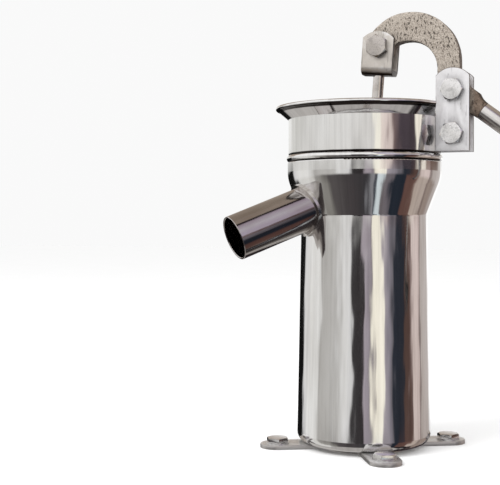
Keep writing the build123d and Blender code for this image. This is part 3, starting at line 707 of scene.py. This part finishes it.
def add_camera():
    place = math.radians(CAMERA_AZIMUTH)
    data = bpy.data.cameras.new("camera")
    camera = bpy.data.objects.new("camera", data)
    bpy.context.scene.collection.objects.link(camera)
    camera.location = (CAMERA_DISTANCE * math.cos(place), CAMERA_DISTANCE * math.sin(place), CAMERA_HEIGHT)
    heading = place + math.pi + math.radians(CAMERA_TURN)
    pitch = math.radians(CAMERA_PITCH)
    flat = math.cos(pitch)
    look = Vector((flat * math.cos(heading), flat * math.sin(heading), -math.sin(pitch)))
    camera.rotation_mode = "QUATERNION"
    camera.rotation_quaternion = look.to_track_quat("-Z", "Y")
    data.lens = FOCAL
    data.sensor_width = SENSOR
    data.clip_start = 0.02
    bpy.context.scene.camera = camera


add_camera()

# The studio as polished metal sees it, with no effect on the floor. It isn't a plain soft light: these
# tables were fitted to the reflections in the photograph, for this one view. For a plain light,
# glossy rays get AMBIENT too, and see the floor and the soft boxes.
# Each row of a table is an angle in degrees to the right of the line from the pump to the camera, and
# the colour there. BELOW holds under the horizon, LEVEL at it, and RAISED in a narrow belt above it.
BELOW = (
    (-180, (0.01, 0.01, 0.01)),
    (-123, (0.012, 0.012, 0.012)),
    (-117, (0.8, 0.8, 0.78)),
    (-90, (0.82, 0.81, 0.78)),
    (-84, (0.43, 0.42, 0.4)),
    (-66, (0.26, 0.25, 0.23)),
    (-54, (0.11, 0.1, 0.1)),
    (-24, (0.07, 0.062, 0.065)),
    (5, (0.05, 0.048, 0.052)),
    (9, (0.26, 0.26, 0.28)),
    (16, (0.28, 0.28, 0.3)),
    (18, (0.03, 0.035, 0.05)),
    (20, (0.04, 0.045, 0.06)),
    (22, (0.75, 0.84, 0.88)),
    (30, (0.75, 0.83, 0.86)),
    (33, (0.2, 0.18, 0.19)),
    (45, (0.18, 0.16, 0.18)),
    (49, (0.022, 0.028, 0.04)),
    (65, (0.022, 0.028, 0.04)),
    (69, (0.13, 0.07, 0.06)),
    (88, (0.16, 0.09, 0.075)),
    (94, (0.55, 0.46, 0.4)),
    (111, (0.5, 0.42, 0.37)),
    (114, (0.18, 0.13, 0.12)),
    (118, (0.36, 0.29, 0.25)),
    (146, (0.34, 0.27, 0.24)),
    (154, (0.04, 0.028, 0.032)),
    (180, (0.02, 0.016, 0.018)),
)
LEVEL = (
    (-180, (0.006, 0.006, 0.006)),
    (-133, (0.008, 0.008, 0.008)),
    (-128, (0.8, 0.8, 0.8)),
    (-110, (0.95, 0.95, 0.93)),
    (-89, (0.9, 0.9, 0.88)),
    (-83, (0.54, 0.53, 0.51)),
    (-46, (0.6, 0.59, 0.57)),
    (-36, (0.86, 0.86, 0.85)),
    (-23, (0.86, 0.86, 0.86)),
    (-20, (0.05, 0.046, 0.048)),
    (-3, (0.035, 0.03, 0.032)),
    (0, (0.44, 0.39, 0.43)),
    (10, (0.36, 0.32, 0.36)),
    (14, (0.26, 0.23, 0.25)),
    (17, (1.1, 1.05, 0.9)),
    (31, (1.15, 1.1, 0.96)),
    (34, (0.46, 0.42, 0.46)),
    (48, (0.27, 0.25, 0.29)),
    (54, (0.16, 0.15, 0.17)),
    (57, (0.026, 0.031, 0.043)),
    (73, (0.03, 0.032, 0.042)),
    (76, (0.1, 0.06, 0.05)),
    (87, (0.11, 0.068, 0.058)),
    (91, (0.18, 0.12, 0.11)),
    (96, (0.78, 0.66, 0.62)),
    (112, (0.72, 0.6, 0.57)),
    (115, (0.2, 0.15, 0.14)),
    (120, (0.55, 0.49, 0.46)),
    (151, (0.62, 0.57, 0.55)),
    (158, (1.2, 1.2, 1.2)),
    (180, (1.2, 1.2, 1.2)),
)
RAISED = (
    (-180, (0.9, 0.9, 0.88)),
    (-150, (0.92, 0.92, 0.9)),
    (-125, (0.74, 0.74, 0.71)),
    (-100, (0.8, 0.8, 0.78)),
    (-60, (0.86, 0.86, 0.84)),
    (12, (0.84, 0.83, 0.81)),
    (16, (1.15, 1.12, 1.0)),
    (25, (1.15, 1.12, 1.0)),
    (28, (0.92, 0.8, 0.74)),
    (38, (0.85, 0.73, 0.68)),
    (43, (0.25, 0.18, 0.17)),
    (54, (0.075, 0.058, 0.07)),
    (79, (0.07, 0.055, 0.065)),
    (84, (1.1, 1.05, 0.92)),
    (100, (1.1, 1.04, 0.92)),
    (104, (0.16, 0.09, 0.065)),
    (135, (0.13, 0.075, 0.055)),
    (150, (0.8, 0.78, 0.75)),
    (180, (0.9, 0.9, 0.9)),
)
# The sky's colours by height, the upward share of the direction: in front, where a dark beam crosses
# it, on the right, and behind.
FRONT_SKY = ((0.0, (1.1, 1.1, 1.1)), (0.86, (1.1, 1.1, 1.1)), (0.92, (0.44, 0.38, 0.33)))
BEAM_SKY = (
    (0.0, (0.6, 0.54, 0.66)),
    (0.3, (0.6, 0.54, 0.66)),
    (0.6, (0.74, 0.72, 0.8)),
    (0.86, (0.5, 0.43, 0.52)),
    (0.89, (0.03, 0.02, 0.025)),
    (0.935, (0.04, 0.03, 0.03)),
    (0.955, (0.44, 0.37, 0.31)),
)
RIGHT_SKY = ((0.0, (0.6, 0.54, 0.6)), (0.4, (0.5, 0.44, 0.45)), (0.8, (0.44, 0.37, 0.31)))
BACK_SKY = ((0.0, (0.9, 0.88, 0.86)), (0.35, (0.44, 0.37, 0.31)), (0.9, (0.4, 0.34, 0.28)))
# Under them lies a floor, pale on the left, dark on the right in the belt DIM, and pale at the nadir.
LEFT_FLOOR = (0.55, 0.53, 0.51)
DIM_FLOOR = (0.02, 0.015, 0.018)
NADIR = (0.46, 0.44, 0.425)
# Each belt blends in between two heights, as upward shares of the direction.
BELOW_EDGE = (-0.15, -0.25)
RAISED_EDGE = (0.02, 0.065)
SKY_EDGE = (0.12, 0.15)
FLOOR_EDGE = (-0.27, -0.4)
DIM_EDGE = (-0.69, -0.73)
NADIR_EDGE = (-0.8, -0.84)
AMBIENT = (1.0, 1.0, 1.0)              # what dull surfaces get from all sides
BACKDROP = (0.95, 0.95, 0.95)          # what the camera sees behind the pump


def studio_world():
    """A pale backdrop for the camera, even light for dull surfaces, fitted strips for reflections."""
    world = bpy.data.worlds.new("studio")
    bpy.context.scene.world = world
    world.use_nodes = True
    tree = world.node_tree
    nodes, links = tree.nodes, tree.links
    nodes.clear()
    place = nodes.new("ShaderNodeTexCoord")
    split = nodes.new("ShaderNodeSeparateXYZ")
    links.new(place.outputs["Generated"], split.inputs[0])
    height = split.outputs["Z"]

    def feed(source, target):
        if isinstance(source, bpy.types.NodeSocket):
            links.new(source, target)
        elif isinstance(source, tuple):
            target.default_value = (*source, 1.0)
        else:
            target.default_value = source

    def calculate(operation, first, second=0.0):
        made = nodes.new("ShaderNodeMath")
        made.operation = operation
        feed(first, made.inputs[0])
        feed(second, made.inputs[1])
        return made.outputs[0]

    def table(factor, rows, low, high):
        made = nodes.new("ShaderNodeValToRGB")
        elements = made.color_ramp.elements
        while len(elements) < len(rows):
            elements.new(0.5)
        for element, (where, rgb) in zip(elements, rows):
            element.position = (where - low) / (high - low)
            element.color = (*rgb, 1.0)
        feed(factor, made.inputs["Fac"])
        return made.outputs["Color"]

    def step(value, low, high):
        made = nodes.new("ShaderNodeMapRange")
        feed(value, made.inputs["Value"])
        made.inputs["From Min"].default_value = low
        made.inputs["From Max"].default_value = high
        return made.outputs["Result"]

    def mixed(factor, first, second):
        made = nodes.new("ShaderNodeMix")
        made.data_type = "RGBA"
        feed(factor, made.inputs[0])
        feed(first, made.inputs[6])
        feed(second, made.inputs[7])
        return made.outputs[2]

    turn = math.radians(CAMERA_AZIMUTH)
    across = calculate("ADD", calculate("MULTIPLY", split.outputs["X"], -math.sin(turn)),
                       calculate("MULTIPLY", split.outputs["Y"], math.cos(turn)))
    towards = calculate("ADD", calculate("MULTIPLY", split.outputs["X"], math.cos(turn)),
                        calculate("MULTIPLY", split.outputs["Y"], math.sin(turn)))
    angle = calculate("ARCTAN2", across, towards)
    share = calculate("ADD", calculate("DIVIDE", angle, 2 * math.pi), 0.5)
    below, level, raised = (table(share, rows, -180, 180) for rows in (BELOW, LEVEL, RAISED))
    skies = (FRONT_SKY, BEAM_SKY, RIGHT_SKY, BACK_SKY)
    front, beam, right, back = (table(height, rows, 0.0, 1.0) for rows in skies)

    def past(degrees, width=6.0):
        """0 to the left of this angle and 1 to the right of it."""
        return step(share, (degrees + 180) / 360, (degrees + width + 180) / 360)

    sky = mixed(past(-135), back, front)
    sky = mixed(past(16), sky, beam)
    sky = mixed(past(52), sky, right)
    sky = mixed(past(118), sky, back)

    seen = mixed(step(height, *BELOW_EDGE), level, below)
    seen = mixed(step(height, *RAISED_EDGE), seen, raised)
    seen = mixed(step(height, *SKY_EDGE), seen, sky)
    ground = mixed(past(-126), LEFT_FLOOR, below)
    seen = mixed(step(height, *FLOOR_EDGE), seen, ground)
    dimmed = mixed(past(20), ground, DIM_FLOOR)
    seen = mixed(step(height, *DIM_EDGE), seen, dimmed)
    seen = mixed(step(height, *NADIR_EDGE), seen, NADIR)

    ray = nodes.new("ShaderNodeLightPath")
    background = nodes.new("ShaderNodeBackground")
    reflected = mixed(ray.outputs["Is Glossy Ray"], AMBIENT, seen)
    links.new(mixed(ray.outputs["Is Camera Ray"], reflected, BACKDROP), background.inputs["Color"])
    output = nodes.new("ShaderNodeOutputWorld")
    links.new(background.outputs[0], output.inputs["Surface"])


studio_world()


PUMP_MIDDLE = (0.05, 0.0, 0.2)


def soft_box(name, place, size, power):
    """A square area light that faces the pump and shows in no reflection."""
    data = bpy.data.lights.new(name, "AREA")
    data.size = size
    data.energy = power
    light = bpy.data.objects.new(name, data)
    bpy.context.scene.collection.objects.link(light)
    light.location = place
    light.rotation_mode = "QUATERNION"
    light.rotation_quaternion = (Vector(PUMP_MIDDLE) - light.location).to_track_quat("-Z", "Y")
    light.visible_glossy = False


soft_box("key", (-0.9, -1.3, 1.5), 0.9, 22.0)
soft_box("fill", (1.2, -0.9, 0.9), 1.0, 8.0)
